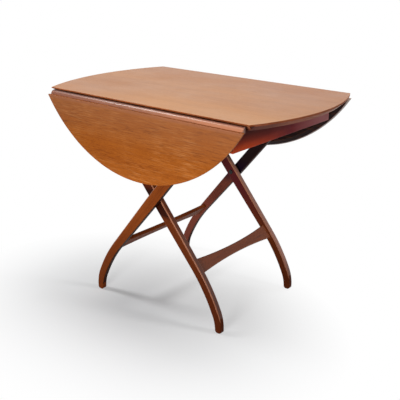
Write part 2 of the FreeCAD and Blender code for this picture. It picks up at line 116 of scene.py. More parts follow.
def booleans(piece, mode, others):
    for other in others:
        cutting = piece.modifiers.new(mode, "BOOLEAN")
        cutting.operation = mode
        cutting.solver = "EXACT"
        cutting.object = other
    applyModifiers(piece)
    for other in others:
        bpy.data.objects.remove(other, do_unlink=True)


def applyModifiers(piece):
    depsgraph = bpy.context.evaluated_depsgraph_get()
    mesh = bpy.data.meshes.new_from_object(piece.evaluated_get(depsgraph), depsgraph=depsgraph)
    piece.modifiers.clear()
    piece.data = mesh


def smooth(piece):
    # smooth shading with sharp edges kept and large flats left flat
    mesh = piece.data
    mesh.shade_smooth()
    mesh.set_sharp_from_angle(angle=sharpFrom)
    weighted = piece.modifiers.new("Flats", "WEIGHTED_NORMAL")
    weighted.keep_sharp = True
    return piece


def paintFaces(piece, material, chosen):
    # a second material on the faces that chosen(centre, normal) picks
    piece.data.materials.append(material)
    for face in piece.data.polygons:
        if chosen(face.center, face.normal):
            face.material_index = len(piece.data.materials) - 1


def finishPiece(piece, body, slotName, *nodes):
    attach(piece, body)
    if nodes:
        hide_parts(*nodes)


class Graph:
    # a short way to write a shader's node tree
    prefix = "ShaderNode"

    def __init__(self, owner):
        owner.use_nodes = True
        self.tree = owner.node_tree
        self.tree.nodes.clear()

    def add(self, kind, inputs=None, **settings):
        node = self.tree.nodes.new(self.prefix + kind)
        for name, value in settings.items():
            setattr(node, name, value)
        for name, value in (inputs or {}).items():
            self.feed(node.inputs[name], value)
        return node

    def feed(self, socket, value):
        if isinstance(value, bpy.types.NodeSocket):
            self.tree.links.new(value, socket)
        else:
            socket.default_value = (*value, 1) if socket.type == "RGBA" else value

    def place(self):
        return self.add("TexCoord").outputs["Object"]

    def noise(self, vector, detail, roughness, distortion=0.0):
        return self.add("TexNoise", {"Vector": vector, "Scale": 1.0, "Detail": detail,
                                     "Roughness": roughness, "Distortion": distortion}).outputs["Fac"]

    def stretch(self, vector, scale, shift=(0, 0, 0)):
        return self.add("Mapping", {"Vector": vector, "Scale": scale, "Location": shift}).outputs["Vector"]

    def spread(self, value, low, high, toLow=0.0, toHigh=1.0):
        return self.add("MapRange", {"Value": value, "From Min": low, "From Max": high,
                                     "To Min": toLow, "To Max": toHigh}).outputs["Result"]

    def mix(self, factor, first, second, blend="MIX"):
        node = self.add("Mix", data_type="RGBA", blend_type=blend)
        sockets = {socket.identifier: socket for socket in node.inputs}
        self.feed(sockets["Factor_Float"], factor)
        self.feed(sockets["A_Color"], first)
        self.feed(sockets["B_Color"], second)
        return [socket for socket in node.outputs if socket.identifier == "Result_Color"][0]

    def maths(self, operation, first, second=0.0):
        node = self.add("Math", operation=operation)
        self.feed(node.inputs[0], first)
        self.feed(node.inputs[1], second)
        return node.outputs["Value"]

    def finish(self, colour, rough, height, strength, depth, constants):
        bump = self.add("Bump", {"Height": height, "Strength": strength, "Distance": depth})
        shader = self.add("BsdfPrincipled", {"Base Color": colour, "Roughness": rough,
                                             "Normal": bump.outputs["Normal"]})
        for name, value in constants.items():
            shader.inputs[name].default_value = value
        output = self.add("OutputMaterial")
        self.tree.links.new(shader.outputs["BSDF"], output.inputs["Surface"])


grainLayers = {
    # scale along and across the grain, shift, detail, roughness, distortion, and the span that counts
    "bands": ((0.9, 22, 22), (0, 0, 0), 3.0, 0.6, 0.0, 0.34, 0.66),
    "streaks": ((2.6, 120, 120), (4, 1, 8), 4.0, 0.62, 0.0, 0.34, 0.68),
    "lines": ((7, 620, 620), (3, 5, 7), 3.0, 0.65, 0.0, 0.42, 0.7),
    "flecks": ((22, 420, 420), (11, 2, 6), 2.0, 0.55, 0.4, 0.54, 0.66),
    "pores": ((70, 2300, 2300), (1, 9, 4), 1.0, 0.5, 0.0, 0.57, 0.68),
    "glints": ((17, 330, 330), (8, 3, 2), 2.0, 0.6, 0.0, 0.5, 0.74),
    "patches": ((4, 6, 6), (6, 6, 1), 2.0, 0.5, 0.0, 0.3, 0.7),
    "handled": ((5, 7, 7), (2, 2, 2), 4.0, 0.6, 0.0, 0.3, 0.7),
}
woodSurface = {
    # four numbers are a span and what it is mapped to
    "fleckFade": (0.2, 0.9, 1.0, 0.35),    # light bands keep fewer flecks
    "figured": (0.3, 0.8),    # patches where glints show
    "sparkGain": 1.35,    # a glint beside the bright wood
    "zoneCover": (0, 1, 0.82, 1.0),    # streaks break up a zone a little
    # the edge lightening below is partly wear, partly a painted highlight
    "rubReach": 2.5 * mm, "rubSamples": 4,  # how far from an edge wear reaches
    "rubSpan": (0.99, 0.9), "rubPatches": (0.1, 0.6, 0.4, 1.0),
    "dull": 0.1,    # roughness that pores and wear add
    "lineDepth": 0.35,    # beside the depth of a pore
    "poreDepth": 0.15 * mm,
}


def wood(name, look, turn=(0, 0, 0), zones=()):
    # grain along the local X that turn gives; a zone recolours where all its ranges hold
    material = bpy.data.materials.new(name)
    g = Graph(material)

    def layer(kind, source, toLow=0.0, toHigh=1.0):
        scale, shift, detail, roughness, distortion, low, high = grainLayers[kind]
        cloud = g.noise(g.stretch(source, scale, shift), detail, roughness, distortion)
        return g.spread(cloud, low, high, toLow, toHigh)

    def share(first, second):
        return g.maths("MULTIPLY", first, second)

    local = g.place()
    turned = g.add("Mapping", {"Vector": local, "Rotation": Euler(turn)}).outputs["Vector"]
    placed = g.stretch(turned, (1, 1, 1), look["shift"])
    waver = g.add("TexNoise", {"Vector": g.stretch(placed, look["waverSize"]), "Scale": 1.0,
                               "Detail": 2.0})
    offset = g.add("VectorMath", {0: waver.outputs["Color"], 1: (0.0, look["waver"], look["waver"])},
                   operation="MULTIPLY")
    grain = g.add("VectorMath", {0: placed, 1: offset.outputs["Vector"]}, operation="ADD").outputs["Vector"]
    bands, streaks, lines, flecks, pores, glints = [
        layer(kind, grain) for kind in ("bands", "streaks", "lines", "flecks", "pores", "glints")]
    patches = layer("patches", placed)

    colour = g.mix(bands, look["deep"], look["body"])
    colour = g.mix(share(patches, look["patch"]), colour, look["bright"])
    colour = g.mix(share(streaks, look["streak"]), colour, look["bright"])
    colour = g.mix(share(lines, look["line"]), colour, look["deep"])
    fleckBands = share(flecks, g.spread(bands, *woodSurface["fleckFade"]))
    colour = g.mix(share(fleckBands, look["fleck"]), colour, look["dark"])
    colour = g.mix(share(pores, look["pore"]), colour, look["dark"])
    figured = share(share(glints, g.spread(patches, *woodSurface["figured"])), look["glint"])
    spark = look.get("spark", [c * woodSurface["sparkGain"] for c in look["bright"]])
    colour = g.mix(figured, colour, spark)

    if zones:
        axes = g.add("SeparateXYZ", {"Vector": local}).outputs
    for ranges, blend, tone, amount in zones:
        mask = amount
        for axis, start, end in ranges:
            along = axes[axis.upper()]
            if axis.isupper():
                along = g.maths("ABSOLUTE", along)
            mask = share(mask, g.spread(along, start, end))
        broken = share(mask, g.spread(streaks, *woodSurface["zoneCover"]))
        colour = g.mix(broken, colour, tone, blend)

    # edges lighter and rougher: partly wear, partly a painted highlight, strongest on the leg frames
    eased = g.add("Bevel", {"Radius": woodSurface["rubReach"]},
                  samples=woodSurface["rubSamples"]).outputs["Normal"]
    flat = g.add("NewGeometry").outputs["Normal"]
    facing = g.add("VectorMath", {0: eased, 1: flat}, operation="DOT_PRODUCT").outputs["Value"]
    edgeWearAndHighlight = share(g.spread(facing, *woodSurface["rubSpan"]), look["wearAndHighlight"])
    rubbedAndHighlight = look.get("rubbedAndHighlight", look["bright"])
    colour = g.mix(share(edgeWearAndHighlight, g.spread(patches, *woodSurface["rubPatches"])), colour, rubbedAndHighlight)

    middle, reach = look["rough"], look["roughSpread"]
    rough = layer("handled", placed, middle - reach, middle + reach)
    rough = g.maths("ADD", rough, share(g.maths("ADD", pores, edgeWearAndHighlight), woodSurface["dull"]))
    height = g.maths("ADD", share(pores, -1.0), share(lines, -woodSurface["lineDepth"]))
    g.finish(colour, rough, height, look["relief"], woodSurface["poreDepth"],
             {"Specular IOR Level": look["specular"], "Coat Weight": look["coat"],
              "Coat Roughness": look["coatRough"]})
    return material


teakLook = {
    "body": (0.35, 0.092, 0.009), "deep": (0.26, 0.06, 0.005), "bright": (0.425, 0.128, 0.018),
    "dark": (0.125, 0.026, 0.003), "patch": 0.35, "streak": 0.4, "line": 0.4, "fleck": 0.55,
    "pore": 0.5, "glint": 0.45, "wearAndHighlight": 0.35, "waver": 0.012, "waverSize": (2.2, 7.0, 7.0),
    "rough": 0.48, "roughSpread": 0.06, "relief": 0.35, "specular": 0.07, "coat": 0.0,
    "coatRough": 0.3, "shift": (0.0, 0.0, 0.0),
}
# the top's paler, tan tone against the leaves' teak is painted sheen
topLook = dict(teakLook, body=(0.44, 0.169, 0.039), deep=(0.366, 0.13, 0.027),
               bright=(0.5, 0.21, 0.053), dark=(0.22, 0.075, 0.02), fleck=0.32, pore=0.35,
               line=0.28, glint=0.2, specular=0.38, coat=0.05, rough=0.38, relief=0.2,
               shift=(0.3, 0.2, 0.1))
leafLook = dict(teakLook, fleck=0.75, pore=0.65, line=0.5, glint=0.8, spark=(0.56, 0.235, 0.075))
edgeLook = dict(teakLook, body=(0.29, 0.08, 0.036), deep=(0.2, 0.05, 0.022),
                bright=(0.37, 0.12, 0.055), dark=(0.08, 0.02, 0.01), specular=0.04, rough=0.5)
# the nosing's paler, pinker tone is painted sheen; its coat is real gloss
noseLook = dict(teakLook, body=(0.34, 0.135, 0.075), deep=(0.27, 0.1, 0.05),
                bright=(0.4, 0.17, 0.1), coat=0.45, coatRough=0.22, rough=0.42, specular=0.2,
                relief=0.02)
frameLook = dict(teakLook, body=(0.195, 0.038, 0.006), deep=(0.105, 0.016, 0.002),
                 bright=(0.28, 0.064, 0.01), dark=(0.04, 0.006, 0.002), streak=0.45, line=0.35,
                 # the edges' rubbed colour: partly wear, partly painted highlight
                 fleck=0.35, pore=0.35, glint=0.25, wearAndHighlight=0.75, rubbedAndHighlight=(0.42, 0.17, 0.08),
                 specular=0.04, rough=0.42, relief=0.2, shift=(0.7, 0.1, 0.4), waverSize=(4, 20, 20),
                 waver=0.004)
outerLegLook = dict(frameLook, body=(0.245, 0.052, 0.008), deep=(0.15, 0.026, 0.003),
                    bright=(0.33, 0.082, 0.014), dark=(0.06, 0.01, 0.002))
innerLegLook = dict(frameLook, body=(0.14, 0.027, 0.005), deep=(0.075, 0.011, 0.002),
                    bright=(0.23, 0.052, 0.01), dark=(0.03, 0.005, 0.002), shift=(0.1, 0.6, 0.2),
                    # brightest edges on the inner legs: wear with a painted highlight
                    wearAndHighlight=1.0, rubbedAndHighlight=(0.6, 0.25, 0.12))
# painted highlight for the up-facing arrises of the legs
arrisHighlightLook = dict(frameLook, body=(0.42, 0.165, 0.08), deep=(0.3, 0.1, 0.045),
                 bright=(0.52, 0.22, 0.12), dark=(0.12, 0.03, 0.012), specular=0.2)
shadedLook = dict(frameLook, body=(0.03, 0.007, 0.003), deep=(0.018, 0.004, 0.002),
                  bright=(0.05, 0.012, 0.004), dark=(0.01, 0.002, 0.001), wearAndHighlight=0.1)
endRailLook = dict(frameLook, body=(0.19, 0.02, 0.024), deep=(0.13, 0.012, 0.015),
                   bright=(0.25, 0.03, 0.03), dark=(0.05, 0.006, 0.007), wearAndHighlight=0.3)
crossLook = dict(frameLook, specular=0.05)
waxedCrossLook = dict(frameLook, specular=0.28, rough=0.38)
rawLook = dict(teakLook, body=(0.36, 0.2, 0.09), deep=(0.27, 0.14, 0.06),
               bright=(0.45, 0.28, 0.14), dark=(0.16, 0.08, 0.035), glint=0.1, rough=0.62,
               specular=0.2, relief=0.6, shift=(0.2, 0.5, 0.9))
glossy = {"specular": 0.32, "rough": 0.34}

# A zone holds its ranges, how the tone goes on, the tone, and how strongly. X, Y and Z are distances
# from the origin, x and y have their sign, and a range runs from none to full.
dim, tint = "MULTIPLY", "MIX"
nearLegs = ("y", -0.05, -0.1)
farLegs = ("y", 0.05, 0.1)
farLeafOnly = ("y", 0.1, 0.2)
belowChord = ("Z", 0.6995, 0.6985)
leafInside = ("Y", 0.288, 0.286)
leafFace = ("Y", 0.2925, 0.2938)
underBand = ("Z", 0.7142, 0.7132)
topPaintedLight = (
    # painted light and shade: darker towards the right end and the far side, lighter along the near edge, darker
    # at the near left
    ((("x", -0.05, 0.45),), dim, (0.88, 0.81, 0.66), 0.9),
    ((("y", -0.02, 0.24),), dim, (0.8, 0.7, 0.5), 0.9),
    ((("y", -0.05, -0.27),), tint, (0.64, 0.27, 0.066), 0.6),
    ((("x", 0.02, -0.28), ("y", 0.04, -0.18)), dim, (0.8, 0.73, 0.68), 1.0),
)
edgeZones = (
    # the lip's tone, then painted shade in the recess under it and a painted lighter band on the cove inside the
    # gap
    ((("Y", 0.262, 0.27),), dim, (0.95, 0.75, 0.4), 1.0),
    ((("Y", 0.256, 0.262), ("Z", 0.7165, 0.7157)), dim, (0.18, 0.1, 0.15), 1.0),
    ((("Y", 0.2735, 0.2725), ("Y", 0.258, 0.26), ("X", 0.404, 0.4), ("Z", 0.7166, 0.716)),
     tint, (0.75, 0.32, 0.11), 1.0),
    # painted shade on the near half of the bevel, then a painted pale reflection on the far half
    ((underBand, ("Y", 0.268, 0.262), ("y", -0.1, -0.25)), dim, (0.3, 0.2, 0.3), 1.0),
    ((underBand, ("Z", 0.7003, 0.7009), ("y", 0.04, 0.25)), tint, (0.92, 0.78, 0.68), 0.95),
)
leafZones = (
    # the leaves' inner faces made nearly black: painted shade
    ((leafInside, belowChord), dim, (0.035, 0.045, 0.35), 1.1),
    # a painted highlight along the far leaf's rim, then a painted highlight at its corner
    ((("Y", 0.2938, 0.293), ("Y", 0.286, 0.288), belowChord, farLeafOnly),
     tint, (0.42, 0.4, 0.4), 1.0),
    ((("x", 0.385, 0.402), farLeafOnly), tint, (0.46, 0.36, 0.3), 0.9),
    # the show face painted lighter towards its lower edge, then paler towards the nosing as painted sheen
    ((("Z", 0.62, 0.5), leafFace), dim, (1.12, 1.1, 1.1), 1.0),
    ((("Z", 0.58, 0.7), leafFace), tint, (0.34, 0.135, 0.06), 0.55),
    ((("Z", 0.688, 0.7), leafFace), tint, (0.34, 0.135, 0.075), 0.75),
)
nosePaintedLight = (
    # painted light on the nosing's right part and painted shade on its left
    ((("x", 0.0, 0.28),), tint, (0.53, 0.2, 0.095), 0.9),
    ((("x", 0.05, -0.3),), dim, (0.72, 0.55, 0.45), 1.0),
    # painted shade on the nosing's top, under the lip
    ((("Y", 0.283, 0.279),), dim, (0.25, 0.12, 0.1), 1.0),    # inside the joint
)
endRailPaintedLight = (
    # painted light: orange-red towards the near end, a painted shadow of the top's overhang across its upper part
    # there, and a painted pinkish reflection towards the far end
    ((("y", 0.02, -0.2),), tint, (0.62, 0.075, 0.012), 0.95),
    ((("Z", 0.627, 0.65), ("y", 0.08, -0.09)), dim, (0.45, 0.4, 0.7), 1.0),
    ((("Z", 0.64, 0.69), ("y", 0.1, -0.08)), dim, (0.15, 0.09, 0.5), 1.0),
    ((("y", 0.04, 0.22),), tint, (0.36, 0.15, 0.15), 0.8),
)
# legs darker towards the foot: painted shade
lowerPaintedShade = ((("Z", 0.34, 0.08),), dim, (0.56, 0.5, 0.45), 1.0)
outerLegZones = (
    lowerPaintedShade,
    # the far outer leg: painted light on its lower part, painted shade on its upper part
    ((farLegs, ("Z", 0.44, 0.38)), tint, (0.21, 0.056, 0.04), 0.85),
    ((farLegs, ("Z", 0.33, 0.375)), dim, (0.05, 0.08, 0.5), 1.2),
)
innerLegZones = (
    lowerPaintedShade,
    # painted shade: the far inner leg's upper part dark maroon, the near inner leg's top darker, and a painted
    # shadow on it around the crossing
    ((farLegs, ("Z", 0.2, 0.34)), tint, (0.075, 0.008, 0.018), 0.8),
    ((nearLegs, ("Z", 0.4, 0.43)), dim, (0.55, 0.4, 0.5), 1.0),
    ((nearLegs, ("Z", 0.335, 0.35), ("Z", 0.435, 0.42)), dim, (0.12, 0.08, 0.2), 1.0),
)
# painted highlight on the far inner leg's up-facing faces, with the same painted shade towards the foot
innerGlossZones = (lowerPaintedShade, ((farLegs, ("Z", 0.04, 0.12)), tint, (0.42, 0.2, 0.15), 0.8))

metalSurface = {"cloud": (160, 160, 160), "scratch": (90, 1800, 1800), "tarnish": (0.35, 0.7),
                "cloudSpan": (0.3, 0.7), "scratchDull": (0.4, 0.7, 0.0, 0.08),
                "duller": 0.10, "brighter": 0.08, "strength": 0.12, "depth": 0.05 * mm}
nylonSurface = {"grain": (1400, 1400, 1400), "span": (0.3, 0.7), "speck": 1.6, "rough": (0.45, 0.6),
                "strength": 0.2, "depth": 0.05 * mm}


def metal(name, colour, rough, speck):
    material = bpy.data.materials.new(name)
    g = Graph(material)
    cloudy = g.noise(g.stretch(g.place(), metalSurface["cloud"]), 4.0, 0.6)
    scratch = g.noise(g.stretch(g.place(), metalSurface["scratch"]), 2.0, 0.5)
    tone = g.mix(g.spread(cloudy, *metalSurface["tarnish"]), colour, [c * speck for c in colour])
    shine = g.maths("ADD", g.spread(cloudy, *metalSurface["cloudSpan"], rough - metalSurface["brighter"],
                                    rough + metalSurface["duller"]),
                    g.spread(scratch, *metalSurface["scratchDull"]))
    g.finish(tone, shine, scratch, metalSurface["strength"], metalSurface["depth"], {"Metallic": 1.0})
    return material


def nylon(name, colour):
    material = bpy.data.materials.new(name)
    g = Graph(material)
    grain = g.noise(g.stretch(g.place(), nylonSurface["grain"]), 2.0, 0.5)
    span = nylonSurface["span"]
    tone = g.mix(g.spread(grain, *span), colour, [c * nylonSurface["speck"] for c in colour])
    shine = g.spread(grain, *span, *nylonSurface["rough"])
    g.finish(tone, shine, grain, nylonSurface["strength"], nylonSurface["depth"], {})
    return material


plainCutter = bpy.data.materials.new("cutter")
acrossTable = (0, 0, quarter)
alongOuterLeg = (0, quarter - lean, 0)
alongInnerLeg = (0, lean - quarter, 0)
topTeak = wood("topTeak", topLook, zones=topPaintedLight)
topEdgeTeak = wood("topEdgeTeak", edgeLook, zones=edgeZones)
noseTeak = wood("noseTeak", noseLook, zones=nosePaintedLight)
leafTeak = wood("leafTeak", leafLook, zones=leafZones)
railTeak = wood("railTeak", frameLook)
endRailTeak = wood("endRailTeak", endRailLook, acrossTable, endRailPaintedLight)
outerLegTeak = wood("outerLegTeak", outerLegLook, alongOuterLeg, outerLegZones)
innerLegTeak = wood("innerLegTeak", innerLegLook, alongInnerLeg, innerLegZones)
outerLegGloss = wood("outerLegGloss", dict(outerLegLook, **glossy), alongOuterLeg, outerLegZones)
innerLegGloss = wood("innerLegGloss", dict(innerLegLook, **glossy), alongInnerLeg, innerGlossZones)
outerLegShade = wood("outerLegShade", shadedLook, alongOuterLeg)
innerLegShade = wood("innerLegShade", shadedLook, alongInnerLeg)
outerLegArrisHighlight = wood("outerLegArrisHighlight", arrisHighlightLook, alongOuterLeg, outerLegZones)
innerLegArrisHighlight = wood("innerLegArrisHighlight", arrisHighlightLook, alongInnerLeg, (lowerPaintedShade,))
crossTeak = wood("crossTeak", crossLook, acrossTable)
waxedCrossTeak = wood("waxedCrossTeak", waxedCrossLook, acrossTable)
rawWood = wood("rawWood", rawLook)
rawCrossWood = wood("rawCrossWood", rawLook, acrossTable)
brass = metal("agedBrass", (0.42, 0.27, 0.10), 0.38, 0.6)
steel = metal("dullSteel", (0.34, 0.33, 0.32), 0.42, 0.7)
blackSteel = metal("blackSteel", (0.035, 0.033, 0.032), 0.45, 0.7)
blackNylon = nylon("blackNylon", (0.012, 0.012, 0.012))
print("materials: %d" % len(bpy.data.materials))


board = {
    "arris": 1.1 * mm,    # rounding of the visible upper edge
    "rimEdge": 5.5 * mm,    # upright band before the bevel
    "rimInset": 16 * mm,    # how far the bevel goes in under the board
    "soften": 0.6 * mm,    # rounding of the bevel's own corners
    "softShares": (0.3, 0.4, 0.2, 0.1),
    "arcPoints": 72, "softSteps": 4,
    "hingeHalf": 408.5 * mm,  # half the straight side of the centre board
    "cove": 16 * mm, "coveReach": 600 * mm, "coveSides": 128,
    "nosing": 13 * mm, "noseInset": 8 * mm, "noseTail": 4 * mm, "noseSoft": 0.8 * mm,
    "noseShare": 0.3, "noseSteps": 16,
    "gap": 0.5 * mm, "over": 1 * mm, "edgeFrom": 0.8,
}
flap = {
    "places": (-280 * mm, 0.0, 280 * mm),
    "long": 60 * mm, "wide": 49 * mm, "thick": 2 * mm,
    "pocket": 4.5 * mm, "pocketSides": 48, "pocketOver": 2 * mm,
    "room": 0.3 * mm, "roomHigh": 14 * mm,
}


def rimLevels():
    # pairs of (inset, depth below the show face) for a rounded arris, a band and a bevel
    arris, edge, inset, soften = board["arris"], board["rimEdge"], board["rimInset"], board["soften"]
    levels = []
    for k in range(board["softSteps"] + 1):
        a = quarter * k / board["softSteps"]
        levels.append((arris * (1 - math.sin(a)), arris * (1 - math.cos(a))))
    slope = inset / (boardThick - edge)
    across, down, past, short = board["softShares"]
    return levels + [(0.0, edge - soften),
                     (soften * slope * across, edge + soften * down),
                     (soften * slope, edge + soften),
                     (inset - soften, boardThick - soften / slope),
                     (inset + soften * past, boardThick - soften * short),
                     (inset + soften, boardThick)]


def makeTop():
    half, reach = panelHigh.y, panelHigh.x
    bulge = reach - board["hingeHalf"]
    radius = (half * half + bulge * bulge) / (2 * bulge)

    def outline(endInset, sideInset):
        r, y = radius - endInset, half - sideInset
        centre = reach - radius
        swing = math.asin(y / r)
        points = []
        for side in (1, -1):
            for k in range(board["arcPoints"] + 1):
                a = side * (-swing + 2 * swing * k / board["arcPoints"])
                points.append((side * (centre + r * math.cos(a)), r * math.sin(a)))
        return points

    rings = []
    for inset, depth in rimLevels():
        sideInset = inset if depth < 2 * board["arris"] else 0.0    # the hinge sides have no bevel
        rings.append([Vector((x, y, panelHigh.z - depth)) for x, y in outline(inset, sideInset)])
    top = loft("tableTop", rings, topTeak)
    cutters = []
    for side in (1, -1):
        axis = Vector((0, side * hinge.y, hinge.z))
        reachX = Vector((board["coveReach"], 0, 0))
        cutters.append(roundBar("cove", axis - reachX, axis + reachX, board["cove"], board["coveSides"]))
        for x in flap["places"]:
            low, high = sorted((side * (hinge.y - flap["wide"]), side * hinge.y))
            cutters.append(block("recess", (x - flap["long"] / 2, low, hinge.z - board["over"]),
                                 (x + flap["long"] / 2, high, hinge.z + flap["thick"])))
    booleans(top, "DIFFERENCE", cutters)
    paintFaces(top, topEdgeTeak, lambda centre, normal: normal.z < board["edgeFrom"])
    finishPiece(smooth(top), "top", "teak_top", "centre_panel")


def makeLeaf(side, name, body, node):
    reach = hinge.z - leafLow.z
    chord = hinge.z - board["gap"]
    half = leafHigh.x
    sagitta = reach - board["gap"]
    radius = (half * half + sagitta * sagitta) / (2 * sagitta)
    centreZ = hinge.z - reach + radius
    steps = board["arcPoints"]

    def outline(inset, chordInset):
        r, z = radius - inset, chord - chordInset
        swing = math.acos((centreZ - z) / r)
        return [(r * math.sin(a), centreZ - r * math.cos(a))
                for a in (swing * (1 - 2 * k / steps) for k in range(steps + 1))]

    rings = []
    for inset, depth in rimLevels():
        chordInset = inset if depth < 2 * board["arris"] else 0.0
        y = side * (hinge.y + boardThick - depth)
        rings.append([Vector((x, y, z)) for x, z in outline(inset, chordInset)])
    leaf = loft(name, rings, leafTeak)

    bead, soft, tail = board["nosing"], board["noseSoft"], board["noseTail"]
    noseHalf = half - board["noseInset"]
    turns = [quarter * k / board["noseSteps"] for k in range(board["noseSteps"] + 1)]
    profile = [(bead * math.cos(a), bead * math.sin(a)) for a in turns] + [(0.0, -tail), (bead, -tail)]
    rings = []
    partly = soft * board["noseShare"]
    for x, inset in ((-noseHalf, soft), (-noseHalf + partly, partly), (-noseHalf + soft, 0),
                     (noseHalf - soft, 0), (noseHalf - partly, partly), (noseHalf, soft)):
        scale = 1 - inset / bead
        rings.append([Vector((x, side * (hinge.y + y * scale), hinge.z + z * scale)) for y, z in profile])
    nosing = loft("nosing", rings, leafTeak)
    booleans(leaf, "UNION", [nosing])

    cutters = []
    room = flap["room"]
    for x in flap["places"]:
        left, right = x - flap["long"] / 2, x + flap["long"] / 2
        axis = Vector((x, side * hinge.y, hinge.z))
        reachX = Vector((flap["long"] / 2 + flap["pocketOver"], 0, 0))
        cutters.append(roundBar("pocket", axis - reachX, axis + reachX, flap["pocket"],
                                flap["pocketSides"]))
        inner, outer = sorted((side * (hinge.y - board["over"]), side * (hinge.y + flap["thick"])))
        cutters.append(block("recess", (left, inner, hinge.z - flap["wide"]),
                             (right, outer, hinge.z + board["over"])))
        cutters.append(block("clearance", (left - room, inner, hinge.z),
                             (right + room, outer + room * (side > 0), hinge.z + flap["roomHigh"])))
    booleans(leaf, "DIFFERENCE", cutters)
    paintFaces(leaf, noseTeak, lambda centre, normal: centre.z > hinge.z)
    finishPiece(smooth(leaf), body, "teak_leaf", node)


makeTop()
makeLeaf(-1, "nearLeaf", "near_leaf", "near_leaf_board")
makeLeaf(1, "farLeaf", "far_leaf", "far_leaf_board")
print("boards done")


def inward(points, inset):
    # the closed outline moved in by inset, corners mitred
    sharpest = 0.5
    moved = []
    count = len(points)
    for i, here in enumerate(points):
        before, after = points[i - 1], points[(i + 1) % count]
        u = (here - before).normalized()
        v = (after - here).normalized()
        normal = Vector((-u.y, u.x)) + Vector((-v.y, v.x))
        normal.normalize()
        mitre = max(sharpest, normal.dot(Vector((-v.y, v.x))))
        moved.append(here + normal * (inset / mitre))
    return moved


def slab(name, points, low, high, soft, toWorld, material, steps):
    # points run anticlockwise; both faces get a quarter-round edge of radius soft
    rings = []
    turns = [quarter * k / steps for k in range(steps + 1)]
    for face, way, order in ((low, 1, turns), (high, -1, turns[::-1])):
        for a in order:
            ring = inward(points, soft * (1 - math.sin(a)))
            rings.append([toWorld(p.x, p.y, face + way * soft * (1 - math.cos(a))) for p in ring])
    return loft(name, rings, material)


leg = {
    "wide": 38 * mm, "shin": 30 * mm, "ankle": 29 * mm, "foot": 24.5 * mm, "sole": 5 * mm,
    "bendHeight": 200 * mm, "ankleHeight": 66 * mm,
    "ankleShare": 0.627,    # how much of the lean is left at the ankle
    "soft": 4.2 * mm, "thick": 20 * mm,
    "straightSteps": 12, "bendSteps": 16, "soleSteps": 8, "headSteps": 24, "edgeSteps": 6,
}
legFaces = {
    # the least or most that a face looks up or sideways to count as waxed, as an arris with a painted highlight or
    # as painted shade
    "glossUp": 0.25, "glossSide": 0.85, "arrisUp": 0.15, "arrisSide": (0.3, 0.93), "shadeSide": 0.6,
}


def legOutline(side):
    # flat outline (x, z) of a leg that leans to side at its top and stands upright at its foot
    up = Vector((side * math.sin(lean), math.cos(lean)))
    across = Vector((math.cos(lean), -side * math.sin(lean)))
    cross = Vector((scissor.x, scissor.z))
    top = Vector((side * upperPivot.x, upperPivot.z))
    footRound = (leg["foot"] - leg["sole"]) / 2
    ankleLean = math.asin(math.sin(lean) * leg["ankleShare"])
    shinRadius = (leg["bendHeight"] - leg["ankleHeight"]) / (math.sin(lean) - math.sin(ankleLean))
    footRadius = (leg["ankleHeight"] - footRound) / math.sin(ankleLean)

    def out(angle):
        return Vector((-side * math.cos(angle), math.sin(angle)))

    bend = cross - up * ((cross.y - leg["bendHeight"]) / math.cos(lean))
    shinCentre = bend + across * (side * shinRadius)
    footCentre = shinCentre + out(ankleLean) * (shinRadius - footRadius)

    def blend(start, end, t):
        return start + (end - start) * t

    def flank(turn):
        back = -side * turn
        straight, bends, soles = leg["straightSteps"], leg["bendSteps"], leg["soleSteps"]
        points = [top + across * (turn * leg["wide"] / 2)]
        for goal, wide in ((cross, leg["wide"]), (bend, leg["shin"])):
            start, end = points[-1], goal + across * (turn * wide / 2)
            points += [start.lerp(end, k / straight) for k in range(1, straight + 1)]
        for k in range(1, bends + 1):
            half = blend(leg["shin"], leg["ankle"], k / bends) / 2
            points.append(shinCentre + out(blend(lean, ankleLean, k / bends)) * (shinRadius + back * half))
        for k in range(1, bends + 1):
            half = blend(leg["ankle"], leg["foot"], k / bends) / 2
            points.append(footCentre + out(ankleLean * (1 - k / bends)) * (footRadius + back * half))
        hub = points[-1] - Vector((turn * footRound, 0))
        for k in range(1, soles + 1):
            a = quarter * k / soles
            points.append(hub + Vector((turn * footRound * math.cos(a), -footRound * math.sin(a))))
        return points

    head = [top + leg["wide"] / 2 * (up * math.sin(a) + across * math.cos(a))
            for a in (math.pi * k / leg["headSteps"] for k in range(1, leg["headSteps"]))]
    left, right = flank(-1), flank(1)
    return head + left + right[::-1]


def waxed(centre, normal):
    return normal.z > legFaces["glossUp"] and abs(normal.y) < legFaces["glossSide"]


# up-facing arris faces, which get the painted highlight
def onLitArris(centre, normal):
    least, most = legFaces["arrisSide"]
    return normal.z > legFaces["arrisUp"] and least < abs(normal.y) < most


def shaded(centre, normal):
    return normal.z < 0 and abs(normal.y) < legFaces["shadeSide"] and centre.z > leg["foot"]


def makeLeg(name, side, middle, material, gloss, shade, arris, body, node):
    low = middle - leg["thick"] / 2
    piece = slab(name, legOutline(side), low, low + leg["thick"], leg["soft"],
                 lambda x, z, y: Vector((x, y, z)), material, leg["edgeSteps"])
    paintFaces(piece, gloss, waxed)
    # a painted highlight on up-facing arrises, painted shade on down-facing narrow faces
    paintFaces(piece, arris, onLitArris)
    paintFaces(piece, shade, shaded)
    finishPiece(smooth(piece), body, "teak_frame", node)


for word, sign in (("near", -1), ("far", 1)):
    outerY = sign * (outerLegBox[0].y + outerLegBox[1].y) / 2
    innerY = sign * (innerLegBox[0].y + innerLegBox[1].y) / 2
    makeLeg(word + "OuterLeg", 1, outerY, outerLegTeak, outerLegGloss, outerLegShade, outerLegArrisHighlight,
            "outer_frame", word + "_outer_leg")
    makeLeg(word + "InnerLeg", -1, innerY, innerLegTeak, innerLegGloss, innerLegShade, innerLegArrisHighlight,
            "inner_frame", word + "_inner_leg")


